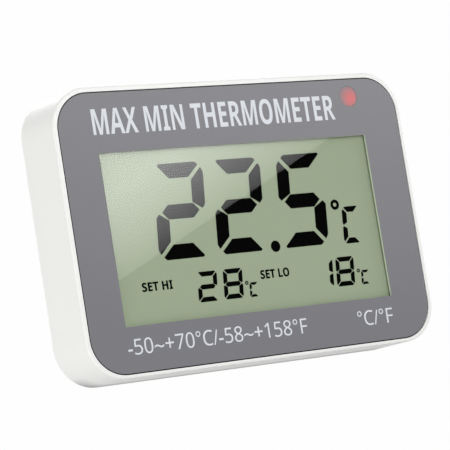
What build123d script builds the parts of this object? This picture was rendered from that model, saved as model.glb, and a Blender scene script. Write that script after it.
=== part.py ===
from build123d import *
import math
import os

# Digital maximum-minimum thermometer with a high and low temperature alarm.
# Millimetres. X runs to the right of someone facing the display, the display faces -Y, Z is up.
# The origin is the bottom centre of the overall box: X = 0 in the middle, Y = 0 at half depth.

# ---- case ----
WIDTH = 110.0
HEIGHT = 74.8
DEPTH = 16.4
DRAFT = 0.4  # every side wall leans in by this much from the rear edge to the front edge
CORNER = 10.9
RIM_ROUND = 0.4
REAR_ROUND = 0.4
EASED = 0.3  # softened edge of the cover, the door and the stand
FRONT = -DEPTH / 2
REAR = DEPTH / 2
MID_Z = HEIGHT / 2
CAVITY = (106.0, 70.8, 8.9)  # width, height and corner radius of the space inside the walls
REBATE = (107.6, 72.4, 9.6)  # step that takes the rear cover
COVER = (107.2, 72.0, 9.4)
COVER_Y = (6.6, REAR)
RECESS = (107.0, 71.86, 9.7)  # shallow step in the front that takes the panel
RECESS_FLOOR = FRONT + 0.8
FRONT_WALL = (RECESS_FLOOR, FRONT + 2.4)

# ---- front panel and display ----
PANEL = (106.4, 71.26, 9.4)  # leaves a fine dark joint all round
PANEL_MID_Z = MID_Z - 0.17
PANEL_Y = (FRONT + 0.1, FRONT + 0.6)
GLUE_Y = (PANEL_Y[1], RECESS_FLOOR)
WINDOW_X = (-42.5, 41.3)
WINDOW_Z = (MID_Z - 24.1, MID_Z + 19.9)
WINDOW_FLANGE = 1.6
WINDOW_FLANGE_Y = (RECESS_FLOOR, FRONT + 1.2)
LCD_X = (-44.6, 43.4)
LCD_Z = (11.3, 59.3)
LCD_LEDGE = 2.0
LCD_ROOM = 0.3  # all round the cell in its pocket
LCD_FRONT_Y = FRONT + 1.3
FILM = 0.2
GLASS = 0.7
LED_X = 38.0
LED_Z = MID_Z + 30.8
LED_SPOT = 2.75

# ---- circuit board ----
BOARD_X = (-23.2, 44.6)
BOARD_Z = (5.2, 70.4)
BOARD_Y = (-2.6, -1.6)
BOARD_SCREWS = [(-18.0, 8.0), (40.0, 8.0), (-18.0, 66.5), (28.0, 66.5)]
CASE_SCREWS = [(x, z) for x in (-48.3, 48.3) for z in (6.6, HEIGHT - 6.6)]

# ---- battery bay, two AAA cells side by side ----
BAY_X = (-47.0, -25.0)
BAY_Z = (12.4, 62.4)
BAY_Y = (-3.6, 6.8)
BAY_WALL = 1.0
CELL_RADIUS = 5.1
CELL_LENGTH = 44.5
CELL_Y = 1.55
CELL_A_X = -41.45
CELL_B_X = -30.55
NUB = 1.0
STRIP = 0.4  # thickness of the contact metal
PIP = 0.6
DOOR_X = (-48.6, -23.4)
DOOR_Z = (11.0, 63.8)
DOOR_Y = (7.1, 8.1)
DOOR_TABS = [(-45.0, -41.0), (-31.0, -27.0)]
GAP = 0.3  # all round between a moving piece and its surround
FIT = 0.1  # all round between a fixed piece and its surround

# ---- stand ----
STAND_X = (-15.0, 15.0)
STAND_FOOT_Z = 6.0
STAND_AXIS_Y = 6.2
STAND_AXIS_Z = 41.0
STAND_THICK = 1.8
STAND_PIN = 1.2
PIN_FIT = 0.05

# ---- controls on the back ----
BUTTONS = {
    "maxmin": (28.0, 60.0),
    "set": (40.0, 60.0),
    "up": (28.0, 49.0),
    "down": (40.0, 49.0),
    "units": (28.0, 38.0),
}
CAP_RADIUS = 3.0
SWITCH_TOP = 1.9
SLIDER_X = 39.0
SLIDER_Z = 38.0
SLIDER_TRAVEL = 2.0
BUZZER_X = 37.0
BUZZER_Z = 20.0

# ---- hanging ----
KEYHOLE_Z = 58.0
KEYHOLE_RISE = 5.5
KEYHOLE_RADIUS = 4.25
KEYHOLE_SLOT = 2.1
MAGNETS = {"left": -14.0, "right": 14.0}
MAGNET_Z = 58.0
MAGNET_RADIUS = 4.0
MAGNET_Y = (6.1, 8.1)


# ---- drawing helpers ----
def grown(span, amount):
    return (span[0] - amount, span[1] + amount)


def block(x, y, z):
    """A box given by three (low, high) pairs."""
    spans = (x, y, z)
    size = [high - low for low, high in spans]
    middle = [(high + low) / 2 for low, high in spans]
    return Pos(*middle) * Box(*size)


def slab(outline, y):
    """An outline drawn in X and Z with thickness between two depths."""
    plane = Plane(origin=(0, y[1], 0), x_dir=(1, 0, 0), z_dir=(0, -1, 0))
    return extrude(plane * outline, y[1] - y[0])


def disc(x, z, radius, y):
    return slab(Pos(x, z) * Circle(radius), y)


def rounded(size, y, middle_z=MID_Z):
    """A centred plate from a (width, height, corner radius) triple."""
    return slab(Pos(0, middle_z) * RectangleRounded(*size), y)


def eased(solid, radius=EASED):
    """Rounds the edges of the rearmost face."""
    return fillet(solid.faces().sort_by(Axis.Y)[-1].edges(), radius)


def rounded_span(x, z, radius, y):
    middle = Pos((x[0] + x[1]) / 2, (z[0] + z[1]) / 2)
    return slab(middle * RectangleRounded(x[1] - x[0], z[1] - z[0], radius), y)


def upright(x, y, radius, z):
    """A round bar along Z."""
    return Pos(x, y, (z[0] + z[1]) / 2) * Cylinder(radius, z[1] - z[0])


def crosswise(y, z, radius, x):
    """A round bar along X."""
    return Pos((x[0] + x[1]) / 2, y, z) * Rot(0, 90, 0) * Cylinder(radius, x[1] - x[0])


def wire(points, radius, bend):
    """Round wire along straight runs joined by arcs."""
    path = FilletPolyline(*points, radius=bend)
    profile = Plane(origin=path @ 0, z_dir=path % 0) * Circle(radius)
    return sweep(profile, path=path)


def coil(x, y, z, turns, radius, wire_radius):
    """A round-wire spring along Z between two heights."""
    height = z[1] - z[0] - 2 * wire_radius
    path = Pos(x, y, z[0] + wire_radius) * Helix(pitch=height / turns, height=height, radius=radius)
    profile = Plane(origin=path @ 0, z_dir=path % 0) * Circle(wire_radius)
    return sweep(profile, path=path)


# ---- case ----
def front_case():
    """The white tub: rim, front wall with the display opening, side walls, screw bosses."""
    rear_plane = Plane(origin=(0, REAR, 0), x_dir=(1, 0, 0), z_dir=(0, -1, 0))
    outline = Pos(0, MID_Z) * RectangleRounded(WIDTH, HEIGHT, CORNER)
    lean = math.degrees(math.atan(DRAFT / DEPTH))
    tub = extrude(rear_plane * outline, DEPTH, taper=lean)
    tub = fillet(tub.faces().sort_by(Axis.Y)[0].edges(), RIM_ROUND)
    tub = fillet(tub.faces().sort_by(Axis.Y)[-1].edges(), REAR_ROUND)
    tub -= rounded(CAVITY, (FRONT_WALL[1], REAR))
    tub -= rounded(REBATE, COVER_Y)
    tub -= rounded(RECESS, (FRONT, RECESS_FLOOR), PANEL_MID_Z)
    for x, z in CASE_SCREWS:
        tub += disc(x, z, 3.0, (FRONT_WALL[1], 5.6))
        tub -= disc(x, z, 1.1, (-2.0, 5.6))
    for x, z in BOARD_SCREWS:
        tub += disc(x, z, 2.4, (FRONT_WALL[1], BOARD_Y[0]))
        tub -= disc(x, z, 0.85, (-5.4, BOARD_Y[0]))
    opening = WINDOW_FLANGE + FIT
    tub -= block(grown(WINDOW_X, opening), FRONT_WALL, grown(WINDOW_Z, opening))
    tub -= block(grown(LCD_X, LCD_ROOM), (LCD_FRONT_Y, FRONT_WALL[1]), grown(LCD_Z, LCD_ROOM))
    tub -= disc(LED_X, LED_Z, 1.8, FRONT_WALL)
    return tub


def keyhole_outline(slot, entry, rise):
    slot_shape = Pos(0, KEYHOLE_Z + rise / 2) * Rectangle(2 * slot, rise)
    end = Pos(0, KEYHOLE_Z + rise) * Circle(slot)
    return Pos(0, KEYHOLE_Z) * Circle(entry) + slot_shape + end


def add_battery_bay(cover):
    collar_z = (DOOR_Z[0] - 1.0, DOOR_Z[1] + 1.0)
    cover += block(grown(DOOR_X, 1.2), (5.0, COVER_Y[0]), collar_z)
    shell_y = (BAY_Y[0] - 0.8, COVER_Y[0])
    cover += block(grown(BAY_X, BAY_WALL), shell_y, grown(BAY_Z, BAY_WALL))
    cover -= block(BAY_X, (BAY_Y[0], REAR), BAY_Z)
    cover -= block(grown(DOOR_X, GAP), (BAY_Y[1], REAR), grown(DOOR_Z, GAP))
    for tab in DOOR_TABS:
        cover -= block(grown(tab, GAP), (5.0, 7.0), (DOOR_Z[0] - 1.8, BAY_Z[0]))
    for x in (CELL_A_X, CELL_B_X):
        cover -= block((x - 1.7, x + 1.7), (3.4, 4.2), (BAY_Z[1], BAY_Z[1] + BAY_WALL))
    nail = rounded_span((-40.0, -32.0), (DOOR_Z[1], DOOR_Z[1] + 3.6), 1.5, (7.2, REAR))
    return cover - nail


def add_stand_pocket(cover):
    outer_x = grown(STAND_X, 2.3)
    cover += block(outer_x, (4.6, COVER_Y[0]), (2.2, STAND_AXIS_Z + 3.6))
    cover += block(outer_x, (3.0, 4.6), (STAND_AXIS_Z - 3.4, STAND_AXIS_Z + 3.6))
    inner_x = grown(STAND_X, GAP)
    top = STAND_AXIS_Z + 2.2
    cover -= block(inner_x, (5.8, REAR), (STAND_FOOT_Z - GAP, top))
    cover -= block(inner_x, (4.0, REAR), (STAND_AXIS_Z - 2.4, top))
    cover -= block((-6.0, 6.0), (5.8, REAR), (3.2, STAND_FOOT_Z))
    socket_x = grown(STAND_X, 1.5)
    return cover - crosswise(STAND_AXIS_Y, STAND_AXIS_Z, STAND_PIN + PIN_FIT, socket_x)


def add_keyhole(cover):
    cover += block((-5.7, 5.7), (2.4, COVER_Y[0]), (52.6, 69.0))
    cover -= block((-4.7, 4.7), (3.4, COVER_Y[0]), (53.6, 68.0))
    return cover - slab(keyhole_outline(KEYHOLE_SLOT, KEYHOLE_RADIUS, KEYHOLE_RISE), COVER_Y)


def add_control_holes(cover):
    for x, z in BUTTONS.values():
        cover -= disc(x, z, CAP_RADIUS + GAP, COVER_Y)
    slot_x = (SLIDER_X - 2.3, SLIDER_X + SLIDER_TRAVEL + 2.3)
    cover -= block(slot_x, COVER_Y, (SLIDER_Z - 1.8, SLIDER_Z + 1.8))
    cover += disc(BUZZER_X, BUZZER_Z, 11.5, (4.6, COVER_Y[0]))
    cover -= disc(BUZZER_X, BUZZER_Z, 9.5, (4.6, COVER_Y[0]))
    cover -= disc(BUZZER_X, BUZZER_Z, 0.7, COVER_Y)
    for step in range(6):
        angle = math.radians(60 * step)
        x = BUZZER_X + 3.5 * math.cos(angle)
        z = BUZZER_Z + 3.5 * math.sin(angle)
        cover -= disc(x, z, 0.7, COVER_Y)
    for step in range(4):
        x = 16.0 + 2.8 * step
        cover -= rounded_span((x - 0.6, x + 0.6), (64.8, 69.2), 0.55, COVER_Y)
    return cover


def rear_cover():
    """The inset back: battery bay, stand pocket, keyhole, magnet seats and control holes."""
    cover = eased(rounded(COVER, COVER_Y))
    cover = add_battery_bay(cover)
    cover = add_stand_pocket(cover)
    cover = add_keyhole(cover)
    cover = add_control_holes(cover)
    for x in MAGNETS.values():
        cover += disc(x, MAGNET_Z, MAGNET_RADIUS + 1.2, (5.2, COVER_Y[0]))
        cover -= disc(x, MAGNET_Z, MAGNET_RADIUS + FIT, (MAGNET_Y[0], REAR))
    for x, z in CASE_SCREWS:
        cover += disc(x, z, 2.7, (5.6, COVER_Y[0]))
        cover -= disc(x, z, 1.3, (5.6, REAR))
        cover -= disc(x, z, 2.3, (6.7, REAR))
    return cover


# ---- front panel and display ----
def panel_overlay():
    sheet = rounded(PANEL, PANEL_Y, PANEL_MID_Z)
    sheet -= block(grown(WINDOW_X, FIT), PANEL_Y, grown(WINDOW_Z, FIT))
    return sheet - disc(LED_X, LED_Z, LED_SPOT + 0.05, PANEL_Y)


def overlay_adhesive():
    """Black gasket that shows as the fine joint between the panel and the rim."""
    width, height, radius = RECESS
    film = rounded((width - FIT, height - FIT, radius - FIT / 2), GLUE_Y, PANEL_MID_Z)
    film -= block(grown(WINDOW_X, 2 * FIT), GLUE_Y, grown(WINDOW_Z, 2 * FIT))
    return film - disc(LED_X, LED_Z, LED_SPOT + 0.15, GLUE_Y)


def display_window():
    """Clear moulding: the flange sits behind the panel, the raised middle fills its opening."""
    raised = block(WINDOW_X, (PANEL_Y[0] + 0.05, WINDOW_FLANGE_Y[0]), WINDOW_Z)
    flange = block(grown(WINDOW_X, WINDOW_FLANGE), WINDOW_FLANGE_Y, grown(WINDOW_Z, WINDOW_FLANGE))
    return raised + flange


def led_window():
    return disc(LED_X, LED_Z, LED_SPOT, (PANEL_Y[0] + 0.02, RECESS_FLOOR))


def lcd_layers():
    """The liquid crystal cell from front to back; the front glass has a bare contact ledge on top."""
    short_z = (LCD_Z[0], LCD_Z[1] - LCD_LEDGE)
    layers = [
        ("lcd_front_polariser", grown(LCD_X, -0.2), grown(LCD_Z, -0.2), FILM),
        ("lcd_front_glass", LCD_X, LCD_Z, GLASS),
        ("lcd_rear_glass", LCD_X, short_z, GLASS),
        ("lcd_rear_reflector", grown(LCD_X, -0.6), grown(short_z, -0.6), FILM),
    ]
    made = {}
    y = LCD_FRONT_Y
    for name, x, z, thick in layers:
        made[name] = block(x, (y, y + thick), z)
        y += thick
    return made


def lcd_support():
    y = (LCD_FRONT_Y + 2 * FILM + 2 * GLASS, BOARD_Y[0])
    frame = block((-21.5, 43.0), y, (11.6, 56.9))
    return frame - block((-17.0, 38.5), y, (16.0, 52.5))


def zebra_connector():
    return block((-19.0, 43.0), (LCD_FRONT_Y + FILM + GLASS, BOARD_Y[0]), (57.6, 59.2))


# ---- circuit board ----
def main_board():
    board = block(BOARD_X, BOARD_Y, BOARD_Z)
    for x, z in BOARD_SCREWS:
        board -= disc(x, z, 1.1, BOARD_Y)
    return board


def alarm_led():
    """A round lamp with a flange, standing on the front of the board."""
    lamp = disc(LED_X, LED_Z, 1.9, (BOARD_Y[0] - 1.0, BOARD_Y[0]))
    lamp += disc(LED_X, LED_Z, 1.5, (BOARD_Y[0] - 3.0, BOARD_Y[0] - 1.0))
    return lamp + Pos(LED_X, BOARD_Y[0] - 3.0, LED_Z) * Sphere(1.5)


def controller_blob():
    blob = disc(0.0, 28.0, 7.0, (BOARD_Y[1], 0.0))
    return fillet(blob.faces().sort_by(Axis.Y)[-1].edges(), 1.4)


def row_of_chips(x_first, z, size):
    """Four small chips side by side on the back of the board."""
    width, height, thick = size
    chips = []
    for step in range(4):
        x = x_first + 4.0 * step
        chips.append(block((x, x + width), (BOARD_Y[1], BOARD_Y[1] + thick), (z, z + height)))
    return Compound(children=chips)


def crystal():
    return upright(10.0, BOARD_Y[1] + 1.0, 1.0, (15.0, 21.0))


def buzzer_coil():
    drum = disc(22.0, 12.0, 3.5, (BOARD_Y[1], 3.4))
    groove = disc(22.0, 12.0, 3.5, (-0.6, 2.4)) - disc(22.0, 12.0, 2.9, (-0.6, 2.4))
    return drum - groove


def transistor():
    return block((20.5, 23.4), (BOARD_Y[1], -0.5), (23.0, 24.3))


def temperature_sensor():
    """A bead on two stiff leads, held up behind the vents."""
    sensor = Pos(20.0, 2.6, 67.0) * Sphere(1.3)
    for x in (19.3, 20.7):
        sensor += disc(x, 67.0, 0.25, (BOARD_Y[1], 2.2))
    return sensor


# ---- controls ----
def tact_switch(x, z):
    body = block((x - 3.0, x + 3.0), (BOARD_Y[1], SWITCH_TOP), (z - 3.0, z + 3.0))
    return body - disc(x, z, 2.0, (SWITCH_TOP - 1.2, SWITCH_TOP))


def tact_plunger(x, z):
    return disc(x, z, 1.7, (SWITCH_TOP - 0.6, SWITCH_TOP + 0.8))


def button_cap(x, z):
    """Round cap with a keeper flange inside the cover and a stem to the plunger."""
    cap = disc(x, z, CAP_RADIUS, (6.3, REAR - 0.1))
    cap = fillet(cap.faces().sort_by(Axis.Y)[-1].edges(), 0.5)
    cap += disc(x, z, CAP_RADIUS + 1.0, (5.7, 6.3))
    return cap + disc(x, z, 1.5, (SWITCH_TOP + 0.8, 5.7))


def slider_body():
    middle = SLIDER_X + SLIDER_TRAVEL / 2
    body = block((middle - 4.3, middle + 4.3), (BOARD_Y[1], SWITCH_TOP), (SLIDER_Z - 2.2, SLIDER_Z + 2.2))
    return body - block((middle - 2.4, middle + 2.4), (0.2, SWITCH_TOP), (SLIDER_Z - 1.05, SLIDER_Z + 1.05))


def slider_knob():
    """Stem in the switch, dust flange under the cover, grooved finger piece in the slot."""
    knob = block((SLIDER_X - 1.1, SLIDER_X + 1.1), (0.5, 6.4), (SLIDER_Z - 0.75, SLIDER_Z + 0.75))
    knob += block((SLIDER_X - 3.9, SLIDER_X + 3.9), (5.6, 6.2), (SLIDER_Z - 2.6, SLIDER_Z + 2.6))
    knob += block((SLIDER_X - 2.0, SLIDER_X + 2.0), (6.2, REAR - 0.2), (SLIDER_Z - 1.5, SLIDER_Z + 1.5))
    for step in (-1, 0, 1):
        x = SLIDER_X + 1.1 * step
        knob -= block((x - 0.25, x + 0.25), (REAR - 0.6, REAR - 0.2), (SLIDER_Z - 1.5, SLIDER_Z + 1.5))
    return knob


# ---- batteries ----
def contact_plate(x, z, tab_top):
    """Flat contact across one cell at the top of the bay with a soldering tab through the wall."""
    plate = block((x - 4.5, x + 4.5), (-3.2, 4.0), z)
    return plate + block((x - 1.5, x + 1.5), (3.6, 4.0), (z[0], tab_top))


def battery_contacts():
    """Pips press on the cell nubs, springs on the flat ends; the bridge joins the two cells."""
    top_z = (BAY_Z[1] - STRIP, BAY_Z[1])
    low_z = (BAY_Z[0], BAY_Z[0] + STRIP)
    positive = contact_plate(CELL_A_X, top_z, 65.0)
    positive += upright(CELL_A_X, CELL_Y, 1.6, (top_z[0] - PIP, top_z[0]))
    bridge = block((CELL_A_X - 4.5, CELL_B_X + 4.5), (-3.2, 4.0), low_z)
    bridge += upright(CELL_B_X, CELL_Y, 1.6, (low_z[1], low_z[1] + PIP))
    flat_a = top_z[0] - PIP - CELL_LENGTH
    flat_b = low_z[1] + PIP + CELL_LENGTH
    return {
        "contact_positive": positive,
        "contact_negative": contact_plate(CELL_B_X, top_z, 65.0),
        "contact_bridge": bridge,
        "contact_spring_a": coil(CELL_A_X, CELL_Y, (low_z[1], flat_a), 4, 2.6, 0.3),
        "contact_spring_b": coil(CELL_B_X, CELL_Y, (flat_b, top_z[0]), 4, 2.6, 0.3),
    }


def battery_cell(x, flat_z, up):
    """One cell from its flat end; up is +1 when the nub points up and -1 when it points down."""
    near = flat_z
    far = flat_z + up * (CELL_LENGTH - NUB)
    tip = flat_z + up * CELL_LENGTH
    can = upright(x, CELL_Y, CELL_RADIUS, (min(near, far), max(near, far)))
    can = fillet(can.edges().filter_by(GeomType.CIRCLE), 0.5)
    return can + upright(x, CELL_Y, 1.9, (min(far, tip), max(far, tip)))


def battery_door():
    """Flush lid with two tabs under the cover at its lower end and a springy tongue on top."""
    door = eased(rounded_span(DOOR_X, DOOR_Z, 1.0, DOOR_Y))
    for tab in DOOR_TABS:
        door += block(tab, (5.9, DOOR_Y[0]), (DOOR_Z[0], DOOR_Z[0] + 1.2))
        door += block(tab, (5.9, 6.7), (DOOR_Z[0] - 1.5, DOOR_Z[0]))
    for x in (-39.6, -33.0):
        door -= block((x, x + 0.6), DOOR_Y, (DOOR_Z[1] - 9.0, DOOR_Z[1]))
    for step in range(5):
        z = DOOR_Z[1] - 4.0 - 1.4 * step
        door -= block((-38.2, -33.8), (DOOR_Y[1] - 0.3, DOOR_Y[1]), (z, z + 0.6))
    arrow = Pos(sum(DOOR_X) / 2, DOOR_Z[1] - 14.0) * Triangle(a=5.0, b=5.0, c=5.0, rotation=180)
    return door - slab(arrow, (DOOR_Y[1] - 0.3, DOOR_Y[1]))


# ---- stand, hanging, screws, wires ----
def kickstand():
    """Flat leg with a round top edge and two hinge pins; the foot has a fingertip notch."""
    leg_y = (STAND_AXIS_Y, STAND_AXIS_Y + STAND_THICK)
    leg = block(STAND_X, leg_y, (STAND_FOOT_Z, STAND_AXIS_Z))
    leg = fillet(leg.edges().filter_by(Axis.Y).group_by(Axis.Z)[0], 2.0)
    leg = fillet(leg.faces().sort_by(Axis.Y)[-1].edges().sort_by(Axis.Z)[:-1], EASED)
    leg += crosswise(STAND_AXIS_Y, STAND_AXIS_Z, STAND_THICK, STAND_X)
    leg += crosswise(STAND_AXIS_Y, STAND_AXIS_Z, STAND_PIN, grown(STAND_X, 1.2))
    leg -= disc(0.0, STAND_FOOT_Z - 2.0, 5.0, leg_y)
    for x in (-9.0, 9.0):
        leg -= rounded_span((x - 1.0, x + 1.0), (14.0, 34.0), 0.9, (leg_y[1] - 0.5, leg_y[1]))
    return leg


def magnet(x):
    return disc(x, MAGNET_Z, MAGNET_RADIUS, MAGNET_Y)


def screw(x, z, head, head_y, shank, tip_y):
    """Pan-head screw driven toward the front, with a cross recess."""
    body = disc(x, z, head, head_y) + disc(x, z, shank, (tip_y, head_y[0]))
    depth = (head_y[1] - 0.7, head_y[1])
    for width, height in ((0.5, 1.2), (1.2, 0.5)):
        body -= block((x - width / 2 * 1.6, x + width / 2 * 1.6), depth, (z - height * 0.8, z + height * 0.8))
    return body


def case_screws():
    return Compound(children=[screw(x, z, 2.1, (6.7, 7.9), 1.08, -1.0) for x, z in CASE_SCREWS])


def board_screws():
    back = BOARD_Y[1]
    return Compound(children=[screw(x, z, 1.8, (back, back + 1.2), 0.83, -5.2) for x, z in BOARD_SCREWS])


def wires():
    """Battery leads over the top of the bay, and the two short buzzer leads."""
    tab_y = 3.8
    run_z = 66.8
    board = BOARD_Y[1]
    red = [(CELL_A_X, tab_y, 65.0), (CELL_A_X, tab_y, run_z), (CELL_A_X, 1.8, run_z)]
    red += [(-20.8, 1.8, run_z), (-20.8, 1.8, 61.5), (-20.8, board, 61.5)]
    black = [(CELL_B_X, tab_y, 65.0), (CELL_B_X, tab_y, run_z), (-20.8, tab_y, run_z)]
    black += [(-20.8, tab_y, 57.5), (-20.8, board, 57.5)]
    lead_a = [(35.0, 4.1, 20.0), (35.0, 1.6, 20.0), (27.5, 1.6, 20.0), (27.5, board, 20.0)]
    lead_b = [(37.0, 4.3, 11.4), (37.0, 1.6, 11.4), (27.5, 1.6, 11.4), (27.5, board, 11.4)]
    return {
        "battery_wire_red": wire(red, 0.5, 0.9),
        "battery_wire_black": wire(black, 0.5, 0.9),
        "buzzer_wire_red": wire(lead_a, 0.35, 0.9),
        "buzzer_wire_black": wire(lead_b, 0.35, 0.9),
    }


def all_nodes():
    nodes = {
        "front_case": front_case(),
        "rear_cover": rear_cover(),
        "panel_overlay": panel_overlay(),
        "overlay_adhesive": overlay_adhesive(),
        "display_window": display_window(),
        "led_window": led_window(),
        "lcd_support": lcd_support(),
        "zebra_connector": zebra_connector(),
        "main_board": main_board(),
        "controller_blob": controller_blob(),
        "alarm_led": alarm_led(),
        "chip_resistors": row_of_chips(-12.0, 48.0, (1.6, 0.8, 0.5)),
        "chip_capacitors": row_of_chips(-12.0, 43.0, (2.0, 1.25, 1.2)),
        "crystal": crystal(),
        "buzzer_coil": buzzer_coil(),
        "transistor": transistor(),
        "temperature_sensor": temperature_sensor(),
        "slider_body": slider_body(),
        "slider_knob": slider_knob(),
        "buzzer_disc": disc(BUZZER_X, BUZZER_Z, 10.5, (4.3, 4.6)),
        "buzzer_ceramic": disc(BUZZER_X, BUZZER_Z, 7.0, (4.1, 4.3)),
        "battery_cell_a": battery_cell(CELL_A_X, BAY_Z[1] - STRIP - PIP - CELL_LENGTH, 1),
        "battery_cell_b": battery_cell(CELL_B_X, BAY_Z[0] + STRIP + PIP + CELL_LENGTH, -1),
        "battery_door": battery_door(),
        "kickstand": kickstand(),
        "case_screws": case_screws(),
        "board_screws": board_screws(),
    }
    nodes.update(lcd_layers())
    nodes.update(battery_contacts())
    nodes.update(wires())
    for name, x in MAGNETS.items():
        nodes["magnet_" + name] = magnet(x)
    for name, (x, z) in BUTTONS.items():
        nodes["switch_" + name] = tact_switch(x, z)
        nodes["plunger_" + name] = tact_plunger(x, z)
        nodes["button_" + name] = button_cap(x, z)
    return nodes


os.makedirs("parts", exist_ok=True)
for node, shape in all_nodes().items():
    export_step(shape, f"parts/{node}.step")
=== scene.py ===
import math

import bmesh
import bpy
from mathutils import Matrix, Quaternion, Vector


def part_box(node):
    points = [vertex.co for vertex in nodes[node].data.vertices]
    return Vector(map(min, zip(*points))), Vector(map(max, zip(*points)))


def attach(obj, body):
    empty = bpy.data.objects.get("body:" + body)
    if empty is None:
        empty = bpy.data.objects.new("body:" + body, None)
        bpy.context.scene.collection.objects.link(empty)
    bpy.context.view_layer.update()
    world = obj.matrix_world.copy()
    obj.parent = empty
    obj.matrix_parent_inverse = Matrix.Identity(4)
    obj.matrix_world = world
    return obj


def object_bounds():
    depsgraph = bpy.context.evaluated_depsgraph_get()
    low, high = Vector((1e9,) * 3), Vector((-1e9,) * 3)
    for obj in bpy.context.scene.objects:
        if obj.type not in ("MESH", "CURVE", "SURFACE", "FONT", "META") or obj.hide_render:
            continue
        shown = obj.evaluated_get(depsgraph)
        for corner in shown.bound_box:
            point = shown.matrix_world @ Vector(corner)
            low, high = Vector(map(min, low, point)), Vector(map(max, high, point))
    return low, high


# Digital maximum-minimum thermometer: looks, printing, display contents, studio and camera.
# Everything is in metres in the CAD frame; MM turns millimetres into metres.

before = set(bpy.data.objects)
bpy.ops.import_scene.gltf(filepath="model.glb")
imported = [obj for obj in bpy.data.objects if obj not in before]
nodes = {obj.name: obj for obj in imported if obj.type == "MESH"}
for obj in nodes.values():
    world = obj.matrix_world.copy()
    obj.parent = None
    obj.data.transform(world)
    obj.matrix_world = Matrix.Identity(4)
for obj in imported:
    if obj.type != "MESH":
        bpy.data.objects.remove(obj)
cad_low, cad_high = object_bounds()
MM = 0.001

# ---- places taken from the frame ----
panel_low, panel_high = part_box("panel_overlay")
window_low, window_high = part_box("display_window")
MID_X = (cad_low.x + cad_high.x) / 2
MID_Z = (cad_low.z + cad_high.z) / 2
PRINT_Y = panel_low.y  # front surface of the grey panel
LCD_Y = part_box("lcd_front_polariser")[0].y  # front surface of the display cell
BACK_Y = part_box("rear_cover")[1].y
INK = 0.02 * MM  # thickness of printing and of display segments
PROUD = 0.002 * MM  # how far the printing on the back stands out
FLANGE = 1.6 * MM  # hidden border of the clear window
VIEW_X = (window_low.x + FLANGE, window_high.x - FLANGE)
VIEW_Z = (window_low.z + FLANGE, window_high.z - FLANGE)
VIEW_WIDTH = VIEW_X[1] - VIEW_X[0]
VIEW_HEIGHT = VIEW_Z[1] - VIEW_Z[0]

# ---- camera: a long lens from the object's left and slightly below, tipped clockwise ----
CAMERA_AZIMUTH = -34.03
CAMERA_ELEVATION = -5.58
CAMERA_ROLL = -9.09
CAMERA_DISTANCE = 598.9 * MM
CAMERA_LENS = 185.67
AIM = Vector((MID_X - 8.39 * MM, cad_low.y, MID_Z - 0.99 * MM))


def camera_back():
    a, e = math.radians(CAMERA_AZIMUTH), math.radians(CAMERA_ELEVATION)
    return Vector((math.sin(a) * math.cos(e), -math.cos(a) * math.cos(e), math.sin(e)))


CAMERA_AT = AIM + camera_back() * CAMERA_DISTANCE


def make_camera():
    camera = bpy.data.objects.new("camera", bpy.data.cameras.new("camera"))
    bpy.context.scene.collection.objects.link(camera)
    camera.data.lens = CAMERA_LENS
    camera.data.clip_start = 0.01
    camera.location = CAMERA_AT
    camera.rotation_mode = "QUATERNION"
    roll = Quaternion((0, 0, 1), math.radians(CAMERA_ROLL))
    camera.rotation_quaternion = (-camera_back()).to_track_quat("-Z", "Y") @ roll
    bpy.context.scene.camera = camera


# ---- material helpers ----
def srgb(red, green, blue):
    """A colour given in 0 to 255 display values, as linear light with alpha."""
    def linear(value):
        value /= 255
        return value / 12.92 if value <= 0.04045 else ((value + 0.055) / 1.055) ** 2.4
    return (linear(red), linear(green), linear(blue), 1.0)


def scaled(colour, factor):
    return tuple(channel * factor for channel in colour[:3]) + (1.0,)


def fill(tree, socket, value):
    """Links an input to another node's output, or sets it."""
    if isinstance(value, bpy.types.NodeSocket):
        tree.links.new(value, socket)
    else:
        socket.default_value = value


def put(tree, kind, inputs=None, **settings):
    """A new node with its settings, and its inputs linked or filled."""
    node = tree.nodes.new(kind)
    for name, value in settings.items():
        setattr(node, name, value)
    for key, value in (inputs or {}).items():
        fill(tree, node.inputs[key], value)
    return node


def part_of(tree, vector, axis):
    """One of a vector's X, Y and Z."""
    return put(tree, "ShaderNodeSeparateXYZ", {"Vector": vector}).outputs[axis]


def maths(tree, operation, *values, clamp=False):
    inputs = dict(enumerate(values))
    return put(tree, "ShaderNodeMath", inputs, operation=operation, use_clamp=clamp).outputs["Value"]


def vector_maths(tree, operation, *values):
    node = put(tree, "ShaderNodeVectorMath", dict(enumerate(values)), operation=operation)
    return node.outputs["Value" if operation in ("DISTANCE", "LENGTH") else "Vector"]


def principled(name, **values):
    material = bpy.data.materials.new(name)
    material.use_nodes = True
    tree = material.node_tree
    shader = tree.nodes["Principled BSDF"]
    for key, value in values.items():
        shader.inputs[key.replace("_", " ")].default_value = value
    place = put(tree, "ShaderNodeTexCoord").outputs["Object"]
    return material, tree, shader, place


def noise(tree, place, scale, detail=2.0, rough=0.5):
    inputs = {"Vector": place, "Scale": scale, "Detail": detail, "Roughness": rough}
    return put(tree, "ShaderNodeTexNoise", inputs).outputs["Fac"]


def blend(tree, factor, first, second):
    """A mix of two colours, each a colour or another node's output."""
    mix = put(tree, "ShaderNodeMix", data_type="RGBA")
    for name, value in (("Factor", factor), ("A", first), ("B", second)):
        socket = [s for s in mix.inputs if s.name == name and s.enabled][0]
        fill(tree, socket, value)
    return [s for s in mix.outputs if s.enabled][0]


def remap(tree, value, low, high, new_low, new_high):
    inputs = {"Value": value, "From Min": low, "From Max": high, "To Min": new_low, "To Max": new_high}
    return put(tree, "ShaderNodeMapRange", inputs).outputs["Result"]


def stretch(tree, cloud, low, high):
    """Noise lies mostly between 0.3 and 0.7. This spreads it over a range."""
    return remap(tree, cloud, 0.3, 0.7, low, high)


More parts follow.
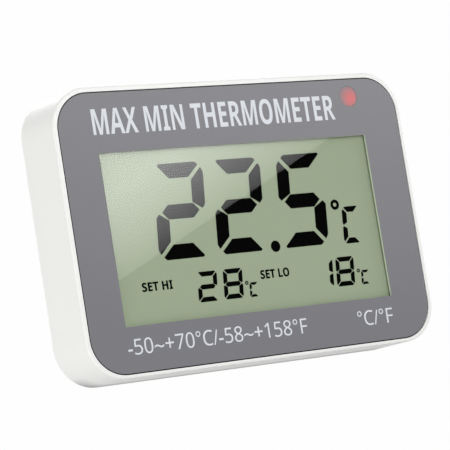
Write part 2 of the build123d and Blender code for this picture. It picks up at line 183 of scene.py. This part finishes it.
def grain(tree, shader, place, scale, depth, strength=0.5):
    """Fine surface texture as a bump."""
    height = noise(tree, place, scale, detail=3.0)
    bump = put(tree, "ShaderNodeBump", {"Height": height, "Strength": strength, "Distance": depth})
    tree.links.new(bump.outputs["Normal"], shader.inputs["Normal"])


def plastic(name, colour, rough, spread=0.03, grain_size=0.25 * MM, grain_depth=0.01 * MM, drift=18 * MM):
    """Moulded plastic or rubber: slow colour drift, uneven gloss and a fine grain."""
    material, tree, shader, place = principled(name)
    slow = noise(tree, place, 1 / drift, detail=4.0)
    tint = blend(tree, slow, scaled(colour, 1 - spread), scaled(colour, 1 + spread))
    tree.links.new(tint, shader.inputs["Base Color"])
    fine = noise(tree, place, 1 / (grain_size * 6), detail=3.0)
    tree.links.new(stretch(tree, fine, rough - 0.05, rough + 0.05), shader.inputs["Roughness"])
    grain(tree, shader, place, 1 / grain_size, grain_depth)
    return material


def metal(name, colour, rough, streak=(1, 1, 30)):
    """Plated or drawn metal with faint streaks along one direction."""
    material, tree, shader, place = principled(name, Metallic=1.0)
    stretched = put(tree, "ShaderNodeMapping", {"Vector": place, "Scale": streak}).outputs["Vector"]
    lines = noise(tree, stretched, 900.0, detail=4.0)
    tint = blend(tree, lines, scaled(colour, 0.88), scaled(colour, 1.05))
    tree.links.new(tint, shader.inputs["Base Color"])
    tree.links.new(stretch(tree, lines, rough - 0.06, rough + 0.08), shader.inputs["Roughness"])
    return material


# ---- colours ----
WHITE = srgb(247, 247, 244)
# Lit and shaded copies of the panel's grey: painted light at its top, painted shade at its bottom.
PAINTED_LIT_GREY = srgb(144, 143, 147)  # the panel's tone at its top and at its bottom
PAINTED_SHADED_GREY = srgb(127, 127, 132)
JOINT = srgb(24, 18, 18)  # cut edge of the panel and the gasket beside it
LCD_GREEN = srgb(169, 181, 154)
# A lit copy of the display's green, painted on the cut edges beside the display as painted light from the
# display.
PAINTED_LIT_EDGE_GREEN = srgb(204, 218, 190)
INK_WHITE = srgb(224, 228, 234)
SEGMENT = srgb(5, 6, 5)


def near_window(tree, place):
    """1 around the edge of the display's opening and 0 further out."""
    margin = 0.5 * MM
    middle = Vector(((VIEW_X[0] + VIEW_X[1]) / 2, 0, (VIEW_Z[0] + VIEW_Z[1]) / 2))
    half = Vector((VIEW_WIDTH / 2 + margin, 1.0, VIEW_HEIGHT / 2 + margin))
    offset = vector_maths(tree, "SUBTRACT", place, middle)
    sides = vector_maths(tree, "ABSOLUTE", vector_maths(tree, "DIVIDE", offset, half))
    reach = maths(tree, "MAXIMUM", part_of(tree, sides, "X"), part_of(tree, sides, "Z"))
    return maths(tree, "LESS_THAN", reach, 1.0)


def panel_material():
    """Matte printed film with dark cut edges. Its grey is painted lighter toward the top right and darker
    toward the bottom left as painted light and shade. Its cut edges round the display are painted a lit green
    as painted light from the display.
    """
    material, tree, shader, place = principled("panel_print", Specular_IOR_Level=0.15)
    # Painted light and shade: the grey is lighter toward the top and darker toward the left, standing in for
    # how the lamps fall on the panel.
    rise = remap(tree, part_of(tree, place, "Z"), panel_low.z, panel_high.z, 0.0, 1.0)
    side = remap(tree, part_of(tree, place, "X"), panel_low.x, panel_high.x, -0.2, 0.0)
    lean = maths(tree, "ADD", rise, side, clamp=True)
    tone = blend(tree, lean, PAINTED_SHADED_GREY, PAINTED_LIT_GREY)
    slow = noise(tree, place, 1 / (25 * MM), detail=3.0)
    mottled = blend(tree, stretch(tree, slow, 0.0, 0.05), tone, srgb(112, 116, 124))
    normal = put(tree, "ShaderNodeNewGeometry").outputs["True Normal"]
    turned = maths(tree, "ABSOLUTE", part_of(tree, normal, "Y"))
    is_edge = maths(tree, "LESS_THAN", turned, 0.5)
    # Cut edges far from the display keep the dark joint colour; those beside it get a painted green light.
    edge_tone = blend(tree, near_window(tree, place), JOINT, PAINTED_LIT_EDGE_GREEN)
    tree.links.new(blend(tree, is_edge, mottled, edge_tone), shader.inputs["Base Color"])
    fine = noise(tree, place, 1 / (1.5 * MM), detail=3.0)
    tree.links.new(stretch(tree, fine, 0.46, 0.54), shader.inputs["Roughness"])
    grain(tree, shader, place, 1 / (0.16 * MM), 0.006 * MM, 0.4)
    return material


def window_material():
    """Clear window: a mirror-like skin with faint handling haze on its front face, see-through elsewhere."""
    material = bpy.data.materials.new("clear_window")
    material.use_nodes = True
    tree = material.node_tree
    tree.nodes.clear()
    place = put(tree, "ShaderNodeTexCoord").outputs["Object"]
    on_front = maths(tree, "LESS_THAN", part_of(tree, place, "Y"), window_low.y + 0.1 * MM)
    inside = put(tree, "ShaderNodeNewGeometry").outputs["Backfacing"]
    skin = maths(tree, "SUBTRACT", on_front, inside, clamp=True)
    fresnel = put(tree, "ShaderNodeFresnel", {"IOR": 1.5}).outputs["Fac"]
    share = maths(tree, "MULTIPLY", fresnel, skin)
    haze = noise(tree, place, 1 / (9 * MM), detail=4.0)
    gloss_rough = remap(tree, haze, 0.35, 0.7, 0.004, 0.02)
    clear = put(tree, "ShaderNodeBsdfTransparent", {"Color": (0.985, 0.99, 0.985, 1.0)})
    gloss = put(tree, "ShaderNodeBsdfGlossy", {"Roughness": gloss_rough})
    mix = put(tree, "ShaderNodeMixShader", {0: share, 1: clear.outputs[0], 2: gloss.outputs[0]})
    put(tree, "ShaderNodeOutputMaterial", {"Surface": mix.outputs[0]})
    return material


def lcd_material():
    """Grey-green display background with the faint cloudiness of its reflector."""
    material, tree, shader, place = principled("lcd_background", Specular_IOR_Level=0.0)
    cloud = noise(tree, place, 1 / (14 * MM), detail=3.0)
    tint = blend(tree, cloud, scaled(LCD_GREEN, 0.985), scaled(LCD_GREEN, 1.015))
    speckle = noise(tree, place, 1 / (0.12 * MM), detail=2.0)
    fine = blend(tree, remap(tree, speckle, 0.35, 0.65, 0.0, 0.05), tint, (0.9, 0.95, 0.85, 1.0))
    tree.links.new(fine, shader.inputs["Base Color"])
    tree.links.new(stretch(tree, speckle, 0.45, 0.6), shader.inputs["Roughness"])
    return material


def lamp_material():
    """Translucent red spot paling to a soft edge. Its brightest part, low and to the right, is painted light.
    """
    low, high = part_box("led_window")
    radius = (high.x - low.x) / 2
    # Painted light: the spot is brightest around this point, low and to the right of its middle.
    glow = (low + high) / 2 + Vector((0.25 * radius, 0, -0.2 * radius))
    glow.y = low.y
    material, tree, shader, place = principled("lamp_spot", Specular_IOR_Level=0.3)
    across = vector_maths(tree, "DISTANCE", place, glow)
    cloud = noise(tree, place, 1 / (0.8 * MM), detail=3.0)
    core = blend(tree, cloud, srgb(216, 112, 114), srgb(224, 122, 123))
    paling = remap(tree, across, 0.3 * radius, 1.15 * radius, 0.0, 1.0)
    tree.links.new(blend(tree, paling, core, srgb(158, 130, 134)), shader.inputs["Base Color"])
    tree.links.new(stretch(tree, cloud, 0.4, 0.5), shader.inputs["Roughness"])
    return material


def gasket_material():
    """Dark foam tape whose edge at the display is painted a lit green, as painted light from the display."""
    material, tree, shader, place = principled("gasket", Roughness=0.8, Specular_IOR_Level=0.2)
    foam = noise(tree, place, 1 / (0.3 * MM), detail=3.0)
    dark = blend(tree, foam, scaled(JOINT, 0.7), scaled(JOINT, 1.3))
    # Painted light: the tape's edge beside the display is a lit green.
    tree.links.new(blend(tree, near_window(tree, place), dark, PAINTED_LIT_EDGE_GREEN), shader.inputs["Base Color"])
    grain(tree, shader, place, 1 / (0.3 * MM), 0.02 * MM)
    return material


def board_material():
    """Green solder mask over copper tracks."""
    material, tree, shader, place = principled("solder_mask", Specular_IOR_Level=0.5)
    tracks = put(tree, "ShaderNodeTexBrick", {"Vector": place, "Scale": 260.0, "Mortar Size": 0.03})
    shade = blend(tree, tracks.outputs["Fac"], srgb(22, 92, 52), srgb(44, 128, 70))
    tree.links.new(shade, shader.inputs["Base Color"])
    fine = noise(tree, place, 1 / (1.0 * MM))
    tree.links.new(stretch(tree, fine, 0.3, 0.45), shader.inputs["Roughness"])
    return material


def cell_material():
    """Battery wrapper: a plain blue-grey sleeve that leaves bare metal at both ends."""
    material, tree, shader, place = principled("cell_jacket", Metallic=0.5)
    low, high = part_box("battery_cell_a")
    middle = (low.z + high.z) / 2
    half_sleeve = 20.6 * MM
    away = maths(tree, "ABSOLUTE", maths(tree, "SUBTRACT", part_of(tree, place, "Z"), middle))
    bare = remap(tree, away, half_sleeve, half_sleeve + 0.1 * MM, 0.0, 1.0)
    fine = noise(tree, place, 1 / (2 * MM))
    wrap = blend(tree, fine, srgb(84, 106, 124), srgb(94, 116, 134))
    tree.links.new(blend(tree, bare, wrap, srgb(190, 190, 192)), shader.inputs["Base Color"])
    tree.links.new(stretch(tree, fine, 0.25, 0.35), shader.inputs["Roughness"])
    return material


def case_material():
    """Satin white moulding whose underside is painted greyer toward its rear edge as painted shade."""
    material, tree, shader, place = principled("white_case", Specular_IOR_Level=0.4)
    slow = noise(tree, place, 1 / (18 * MM), detail=4.0)
    clean = blend(tree, slow, scaled(WHITE, 0.99), scaled(WHITE, 1.005))
    normal = put(tree, "ShaderNodeNewGeometry").outputs["Normal"]
    # Painted shade: faces turned downward go grey toward the rear edge.
    below = remap(tree, part_of(tree, normal, "Z"), -0.75, -0.97, 0.0, 1.0)
    rear = remap(tree, part_of(tree, place, "Y"), 1 * MM, cad_high.y - 0.6 * MM, 0.0, 1.0)
    painted_underside_shade = maths(tree, "MULTIPLY", below, rear)
    tree.links.new(blend(tree, painted_underside_shade, clean, srgb(152, 153, 149)), shader.inputs["Base Color"])
    fine = noise(tree, place, 1 / (1.5 * MM), detail=3.0)
    tree.links.new(stretch(tree, fine, 0.34, 0.44), shader.inputs["Roughness"])
    grain(tree, shader, place, 1 / (0.25 * MM), 0.004 * MM)
    return material


def called(start):
    return [name for name in nodes if name.startswith(start)]


def dress_nodes():
    """Every CAD piece gets its finished material."""
    white = case_material()
    back = plastic("white_back", WHITE, 0.5, spread=0.01, grain_size=0.35 * MM, grain_depth=0.02 * MM)
    rubber = plastic("button_rubber", srgb(150, 150, 154), 0.62, grain_depth=0.02 * MM)
    black = plastic("black_resin", srgb(22, 22, 24), 0.35)
    inner = plastic("natural_moulding", srgb(225, 225, 220), 0.55)
    nickel = metal("nickel", (0.72, 0.71, 0.68, 1.0), 0.22)
    steel = metal("steel", (0.62, 0.62, 0.63, 1.0), 0.3)
    brass = metal("brass", (0.78, 0.62, 0.32, 1.0), 0.3)
    looks = {
        white: ["front_case"],
        back: ["rear_cover", "battery_door", "kickstand"],
        panel_material(): ["panel_overlay"],
        window_material(): ["display_window", "lcd_front_glass", "lcd_rear_glass"],
        lcd_material(): ["lcd_front_polariser", "lcd_rear_reflector"],
        lamp_material(): ["led_window", "alarm_led"],
        board_material(): ["main_board"],
        cell_material(): ["battery_cell_a", "battery_cell_b"],
        inner: ["lcd_support", "buzzer_ceramic"],
        gasket_material(): ["overlay_adhesive"],
        plastic("elastomer", srgb(190, 90, 110), 0.6): ["zebra_connector"],
        rubber: ["slider_knob"] + called("button_"),
        black: ["controller_blob", "transistor", "temperature_sensor"] + called("chip_") + called("plunger_"),
        steel: ["case_screws", "board_screws", "slider_body", "crystal"] + called("switch_"),
        nickel: called("magnet_") + called("contact_"),
        brass: ["buzzer_disc", "buzzer_coil"],
        plastic("red_insulation", srgb(170, 24, 24), 0.45): ["battery_wire_red", "buzzer_wire_red"],
        plastic("black_insulation", srgb(24, 24, 26), 0.45): ["battery_wire_black", "buzzer_wire_black"],
    }
    for material, names in looks.items():
        for name in names:
            for slot in nodes[name].material_slots:
                slot.material = material


# ---- flat shapes: display segments, lettering and printed marks ----
def flat_piece(name, loops, y, material):
    """Filled outlines in (x, z), as thick as ink about y, with a hole where one lies in another."""
    curve = bpy.data.curves.new(name, "CURVE")
    curve.dimensions = "2D"
    curve.fill_mode = "BOTH"
    curve.extrude = INK / 2
    for loop in loops:
        spline = curve.splines.new("POLY")
        spline.points.add(len(loop) - 1)
        for point, (x, z) in zip(spline.points, loop):
            point.co = (x, z, 0, 1)
        spline.use_cyclic_u = True
    return as_piece(name, curve, lambda p: Vector((p.x, y + p.z, p.y)), material)


def as_piece(name, curve, move, material):
    """Turns a curve or text into a closed mesh in the frame, which rides on the case."""
    holder = bpy.data.objects.new(name + "_outline", curve)
    bpy.context.scene.collection.objects.link(holder)
    bpy.context.view_layer.update()
    mesh = bpy.data.meshes.new_from_object(holder.evaluated_get(bpy.context.evaluated_depsgraph_get()))
    bpy.data.objects.remove(holder)
    work = bmesh.new()
    work.from_mesh(mesh)
    bmesh.ops.remove_doubles(work, verts=work.verts, dist=1e-7)
    for vertex in work.verts:
        vertex.co = move(vertex.co)
    bmesh.ops.recalc_face_normals(work, faces=work.faces)
    work.to_mesh(mesh)
    work.free()
    mesh.materials.clear()
    mesh.materials.append(material)
    piece = bpy.data.objects.new(name, mesh)
    bpy.context.scene.collection.objects.link(piece)
    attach(piece, "case")
    return piece


CAP = 0.714  # height of a capital in the lettering at size 1
LIGHT = (0x1D5A0, 0x1D7E2)  # where the light and the bold sans-serif capitals and digits start
BOLD = (0x1D5D4, 0x1D7EC)


def lettered(words, face):
    """The words in one of Blender's own sans-serif faces."""
    capitals, digits = face
    spelled = ""
    for sign in words:
        if "A" <= sign <= "Z":
            sign = chr(capitals + ord(sign) - ord("A"))
        elif "0" <= sign <= "9":
            sign = chr(digits + ord(sign) - ord("0"))
        spelled += sign
    return spelled


def text_piece(
    name, words, corner, height, width, y, material,
    face=LIGHT, facing=-1, fatten=0.0,
):
    """One line of lettering on the case. corner is its lower left (x, z) as its reader sees it, height is
    a capital's and width the whole line's. facing is -1 on the front and 1 on the back. fatten is how far
    the strokes' edges move out, in the lettering's own size."""
    curve = bpy.data.curves.new(name, "FONT")
    curve.body = lettered(words, face)
    curve.size = 1.0
    curve.extrude = 0.5
    curve.offset = fatten
    probe = bpy.data.objects.new("probe", curve)
    bpy.context.scene.collection.objects.link(probe)
    bpy.context.view_layer.update()
    corners = [Vector(c) for c in probe.bound_box]
    bpy.data.objects.remove(probe)
    left = min(c.x for c in corners)
    across = width / (max(c.x for c in corners) - left)
    up = height / CAP

    def move(p):
        return Vector((corner[0] - facing * (p.x - left) * across, y + p.z * INK, corner[1] + p.y * up))

    return as_piece(name, curve, move, material)


# ---- seven-segment digits ----
SLANT = 0.097  # sideways lean for each unit of height
DIGITS = {
    "1": "bc", "2": "abged", "5": "afgcd", "8": "abcdefg", "C": "afed",
}


def digit_loops(figure, left, base, width, height, stroke, gap):
    """Outlines of one slanted digit, its lower left corner at (left, base).
    A corner between two lit strokes is cut off; a free end is only blunted."""
    lit = DIGITS[figure]
    w, h, t, g = width, height, stroke, gap
    cut = 0.43 * t
    nick = 0.2 * t
    blunt = 0.12 * t
    mid = h / 2 - 0.006 * h
    loops = []

    def bar(top, left_lit, right_lit):
        """A top bar, or a bottom bar when top is False, drawn downward from its outer edge."""
        edge = h if top else 0
        sign = -1 if top else 1
        points = []
        if left_lit:
            points += [(g + nick, edge + sign * nick), (g + cut, edge)]
        else:
            points += [(g + blunt, edge + sign * blunt), (g + 1.8 * blunt, edge)]
        if right_lit:
            points += [(w - g - cut, edge), (w - g - nick, edge + sign * nick)]
        else:
            points += [(w - g - 1.8 * blunt, edge), (w - g - blunt, edge + sign * blunt)]
        points += [(w - g - t, edge + sign * t), (g + t, edge + sign * t)]
        return points

    def post(right, upper):
        """A side stroke between the outer corner and the middle."""
        outer = w if right else 0
        sign = -1 if right else 1
        inner = outer + sign * t
        tip = outer + sign * 0.23 * t
        end = h if upper else 0
        down = -1 if upper else 1
        middle = mid - down * 0.1 * t
        shoulder = mid - down * 0.36 * t
        waist = mid - down * 0.56 * t
        return [
            (outer + sign * nick, end + down * (g + nick)),
            (outer, end + down * (g + 1.2 * cut)),
            (outer, shoulder),
            (tip, middle),
            (inner, waist),
            (inner, end + down * (g + t)),
        ]

    if "a" in lit:
        loops.append(bar(True, "f" in lit, "b" in lit))
    if "d" in lit:
        loops.append(bar(False, "e" in lit, "c" in lit))
    posts = {"b": (True, True), "c": (True, False), "f": (False, True), "e": (False, False)}
    for key, (right, upper) in posts.items():
        if key in lit:
            loops.append(post(right, upper))
    if "g" in lit:
        tip = 0.48 * t
        half = 0.49 * t
        loops.append([
            (tip, mid), (tip + half, mid + half), (w - tip - half, mid + half),
            (w - tip, mid), (w - tip - half, mid - half), (tip + half, mid - half),
        ])
    return [[(left + x + SLANT * z, base + z) for x, z in loop] for loop in loops]


def ring_loops(x, z, outer, inner=0.0, steps=40):
    loops = []
    for radius in (outer, inner):
        if radius:
            turns = [2 * math.pi * k / steps for k in range(steps)]
            loops.append([(x + radius * math.cos(a), z + radius * math.sin(a)) for a in turns])
    return loops


LCD_DEPTH = LCD_Y - cad_low.y
DISPLAY_AT = (MID_X + 0.69 * LCD_DEPTH, MID_Z + 0.12 * LCD_DEPTH)  # the display's own middle
DISPLAY_UNIT = MM * (1 + LCD_DEPTH / 0.494)


def lcd_point(x, z):
    """A place given in units of about a millimetre from the display's middle."""
    return (DISPLAY_AT[0] + x * DISPLAY_UNIT, DISPLAY_AT[1] + z * DISPLAY_UNIT)


def lcd_loops(marks):
    return [[lcd_point(x, z) for x, z in loop] for loop in marks]


def segment_material():
    """Near-black segments, a little uneven."""
    material, tree, shader, place = principled("lcd_segment", Specular_IOR_Level=0.0)
    fine = noise(tree, place, 1 / (1.2 * MM), detail=3.0)
    tone = blend(tree, fine, scaled(SEGMENT, 0.8), scaled(SEGMENT, 1.3))
    tree.links.new(tone, shader.inputs["Base Color"])
    tree.links.new(stretch(tree, fine, 0.4, 0.5), shader.inputs["Roughness"])
    return material


def make_display():
    """The large reading, and below it the high and the low setting, each with its word."""
    ink = segment_material()
    y = LCD_Y - INK
    large = dict(base=-8.6, width=15.1, height=24.7, stroke=3.85, gap=0.75)
    main = []
    for figure, left in (("2", -29.85), ("2", -11.85), ("5", 8.45)):
        main += digit_loops(figure, left, **large)
    main += ring_loops(6.3, -7.8, 1.5)
    main += ring_loops(27.5, 1.7, 1.4, 0.55)
    main += digit_loops("C", 28.6, -9.0, 5.5, 9.95, 1.5, 0.3)
    flat_piece("lcd_reading", lcd_loops(main), y, ink)
    small = dict(base=-20.2, width=6.0, height=7.8, stroke=1.25, gap=0.18)
    for name, digits, ring_x, unit_x in (
        ("lcd_high", (("2", -20.0), ("8", -12.1)), -4.55, -4.1),
        ("lcd_low", (("1", 17.0), ("8", 24.0)), 31.7, 32.2),
    ):
        loops = []
        for figure, left in digits:
            loops += digit_loops(figure, left, **small)
        loops += ring_loops(ring_x, -16.5, 0.52, 0.2)
        loops += digit_loops("C", unit_x, -20.3, 2.6, 3.8, 0.68, 0.1)
        flat_piece(name, lcd_loops(loops), y, ink)
    for name, words, left in (("lcd_word_high", "SET HI", -36.2), ("lcd_word_low", "SET LO", 0.1)):
        corner = lcd_point(left, -15.9)
        height, width = 2.2 * MM, 9.2 * MM
        text_piece(name, words, corner, height, width, y, ink, face=BOLD, fatten=0.015)


# ---- printing ----
def make_front_print():
    """The title along the top of the panel, and one line along its bottom."""
    ink = plastic("printed_white", INK_WHITE, 0.5, spread=0.03, drift=3 * MM, grain_depth=0.003 * MM)
    y = PRINT_Y - INK / 2
    title_height, line_height = 6.6 * MM, 3.9 * MM
    title_corner = (MID_X - 43.2 * MM, MID_Z + 24.7 * MM)
    text_piece("title", "MAX MIN THERMOMETER", title_corner, title_height, 75.8 * MM, y, ink, face=BOLD)
    line_z = MID_Z - 31.3 * MM
    range_corner = (MID_X - 42.9 * MM, line_z)
    text_piece("range_line", "-50~+70°C/-58~+158°F", range_corner, line_height, 55.2 * MM, y, ink)
    text_piece("unit_mark", "°C/°F", (MID_X + 29.0 * MM, line_z), line_height, 11.8 * MM, y, ink)


def back_legend(name, words, middle, low_z, ink, height=1.3 * MM):
    """A word centred on a place on the back."""
    width = height * (0.75 * len(words) - 0.1)
    corner = (middle + width / 2, low_z)
    y = BACK_Y + PROUD - INK / 2
    text_piece("legend_" + name, words, corner, height, width, y, ink, facing=1)


def make_back_print():
    """Small grey legends beside the controls."""
    ink = plastic("printed_grey", srgb(88, 90, 96), 0.5, drift=3 * MM, grain_depth=0.003 * MM)
    for name, words in (("maxmin", "MAX/MIN"), ("set", "SET"), ("units", "°C/°F")):
        low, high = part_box("button_" + name)
        back_legend(name, words, (low.x + high.x) / 2, high.z - 0.4 * MM, ink)
    for name, point in (("up", 1), ("down", -1)):
        low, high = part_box("button_" + name)
        middle, base = (low.x + high.x) / 2, high.z + 0.3 * MM
        tip, foot = base + point * 0.75 * MM, base - point * 0.75 * MM
        outline = [(middle - 0.9 * MM, foot), (middle + 0.9 * MM, foot), (middle, tip)]
        flat_piece("legend_" + name, [outline], BACK_Y + PROUD - INK / 2, ink)
    low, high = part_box("slider_body")
    back_legend("off", "OFF", low.x + 1.6 * MM, high.z + 0.4 * MM, ink, 1.1 * MM)
    back_legend("on", "ON", high.x - 1.2 * MM, high.z + 0.4 * MM, ink, 1.1 * MM)
    back_legend("alarm", "ALARM", (low.x + high.x) / 2, low.z - 2.2 * MM, ink)


# ---- studio ----
# where the reflected lamp's edge leaves the window
GLARE_LEFT = 0.264  # share of its height, up its left side
GLARE_TOP = 0.865  # share of its width, along its top
CARD_LONG = 330 * MM
CARD_TALL = 190 * MM
CARD_RAMP = 38 * MM  # how far in from its lower edge the card reaches full strength
CARD_GLOW = (1.85, 7.7)  # strength at that edge, and in full
FLOOR_REACH = 1.0
FLOOR_FADE = (0.2, 0.8)  # distances from the object between which the floor fades out
LAMP_DISTANCE = 1.2
LAMP_SIZE = 0.8
WORLD_LIGHT = (0.38, 0.5)  # from straight below and from straight above
MIRRORED_WORLD = (0.02, 0.8)  # what mirrors see in front of the object and behind it
BACKDROP = 0.99  # what the camera sees


def emission_material(name, colour, strength):
    material = bpy.data.materials.new(name)
    material.use_nodes = True
    tree = material.node_tree
    tree.nodes.clear()
    glow = put(tree, "ShaderNodeEmission", {"Color": colour, "Strength": strength})
    put(tree, "ShaderNodeOutputMaterial", {"Surface": glow.outputs[0]})
    return material, tree, glow


def seen_in_window(point):
    """The point as far in front of the window as the camera that its mirror shows at this point of it."""
    mirrored = Vector((CAMERA_AT.x, 2 * window_low.y - CAMERA_AT.y, CAMERA_AT.z))
    return mirrored + (point - mirrored) * 2


def rectangle(name, x, y):
    """A flat object over two (low, high) pairs."""
    mesh = bpy.data.meshes.new(name)
    mesh.from_pydata([(x[0], y[0], 0), (x[1], y[0], 0), (x[1], y[1], 0), (x[0], y[1], 0)], [], [(0, 1, 2, 3)])
    sheet = bpy.data.objects.new(name, mesh)
    bpy.context.scene.collection.objects.link(sheet)
    return sheet


def make_glare_card():
    """A soft lamp panel whose lower edge is mirrored across the window as one slanting line."""
    first = seen_in_window(Vector((VIEW_X[0], window_low.y, VIEW_Z[0] + GLARE_LEFT * VIEW_HEIGHT)))
    second = seen_in_window(Vector((VIEW_X[0] + GLARE_TOP * VIEW_WIDTH, window_low.y, VIEW_Z[1])))
    along = (second - first).normalized()
    up = Vector((-along.z, 0, along.x))
    start = first - along * 90 * MM
    card = rectangle("lamp_card", (0, CARD_LONG), (0, CARD_TALL))
    turn = Matrix((along, up, along.cross(up))).transposed().to_4x4()
    card.matrix_world = Matrix.Translation(start) @ turn
    material, tree, glow = emission_material("lamp_card", (1, 1, 1, 1), 1.0)
    place = put(tree, "ShaderNodeTexCoord").outputs["Object"]
    across = part_of(tree, place, "Y")
    tree.links.new(remap(tree, across, 0, CARD_RAMP, *CARD_GLOW), glow.inputs["Strength"])
    card.data.materials.append(material)
    card.visible_camera = False
    card.visible_diffuse = False
    card.visible_shadow = False


def make_world():
    """White to the camera, softer from below as light, and to mirrors bright only behind the object."""
    world = bpy.data.worlds.new("studio")
    bpy.context.scene.world = world
    world.use_nodes = True
    tree = world.node_tree
    tree.nodes.clear()
    way = put(tree, "ShaderNodeTexCoord").outputs["Generated"]
    path = put(tree, "ShaderNodeLightPath").outputs
    from_above = remap(tree, part_of(tree, way, "Z"), -1, 1, *WORLD_LIGHT)
    from_behind = remap(tree, part_of(tree, way, "Y"), -0.1, 0.5, *MIRRORED_WORLD)
    soft = put(tree, "ShaderNodeBackground", {"Strength": from_above})
    mirrored = put(tree, "ShaderNodeBackground", {"Strength": from_behind})
    plain = put(tree, "ShaderNodeBackground", {"Strength": BACKDROP})
    for background in (soft, mirrored, plain):
        background.inputs["Color"].default_value = (1, 1, 1, 1)
    glossy, direct = path["Is Glossy Ray"], path["Is Camera Ray"]
    lit = put(tree, "ShaderNodeMixShader", {0: glossy, 1: soft.outputs[0], 2: mirrored.outputs[0]})
    mix = put(tree, "ShaderNodeMixShader", {0: direct, 1: lit.outputs[0], 2: plain.outputs[0]})
    put(tree, "ShaderNodeOutputWorld", {"Surface": mix.outputs[0]})


def area_light(name, way, brightness, mirrored=True):
    """A soft round lamp in one direction from the object. A surface that faces it gets this brightness."""
    lamp = bpy.data.lights.new(name, "AREA")
    lamp.shape = "DISK"
    lamp.size = LAMP_SIZE
    lamp.energy = brightness * (math.pi * LAMP_DISTANCE) ** 2
    holder = bpy.data.objects.new(name, lamp)
    bpy.context.scene.collection.objects.link(holder)
    way = Vector(way).normalized()
    holder.location = Vector((MID_X, 0, MID_Z)) + way * LAMP_DISTANCE
    holder.rotation_mode = "QUATERNION"
    holder.rotation_quaternion = (-way).to_track_quat("-Z", "Y")
    holder.visible_camera = False
    holder.visible_glossy = mirrored


def make_floor():
    """Pale table top that fades out into the white all round. It is seen from above only, because
    the camera looks from just under its level."""
    floor = rectangle("floor", (-FLOOR_REACH, FLOOR_REACH), (-FLOOR_REACH, FLOOR_REACH))
    floor.location = (0, 0, cad_low.z - 0.05 * MM)
    material, tree, shader, place = principled("floor_paint", Roughness=0.8)
    slow = noise(tree, place, 3.0)
    pale = blend(tree, slow, (0.86, 0.86, 0.86, 1), (0.9, 0.9, 0.9, 1))
    tree.links.new(pale, shader.inputs["Base Color"])
    under = put(tree, "ShaderNodeNewGeometry").outputs["Backfacing"]
    gone = remap(tree, vector_maths(tree, "LENGTH", place), *FLOOR_FADE, 0.0, 1.0)
    hidden = maths(tree, "MAXIMUM", under, gone)
    clear = put(tree, "ShaderNodeBsdfTransparent")
    mix = put(tree, "ShaderNodeMixShader", {0: hidden, 1: shader.outputs[0], 2: clear.outputs[0]})
    tree.links.new(mix.outputs[0], tree.nodes["Material Output"].inputs["Surface"])
    floor.data.materials.append(material)
    floor.visible_diffuse = False
    floor.visible_glossy = False
    floor.visible_shadow = False


def make_studio():
    make_world()
    make_floor()
    make_glare_card()
    area_light("lamp_left_low", (-0.85, -0.15, -0.45), 0.46)
    area_light("lamp_front", (-0.25, -0.95, 0.2), 0.37, mirrored=False)
    area_light("lamp_right", (0.9, -0.2, 0.3), 0.4)
    area_light("lamp_back", (0.3, 0.85, 0.4), 0.4)


bpy.context.scene.view_settings.view_transform = "Standard"
make_camera()
dress_nodes()
make_display()
make_front_print()
make_back_print()
make_studio()
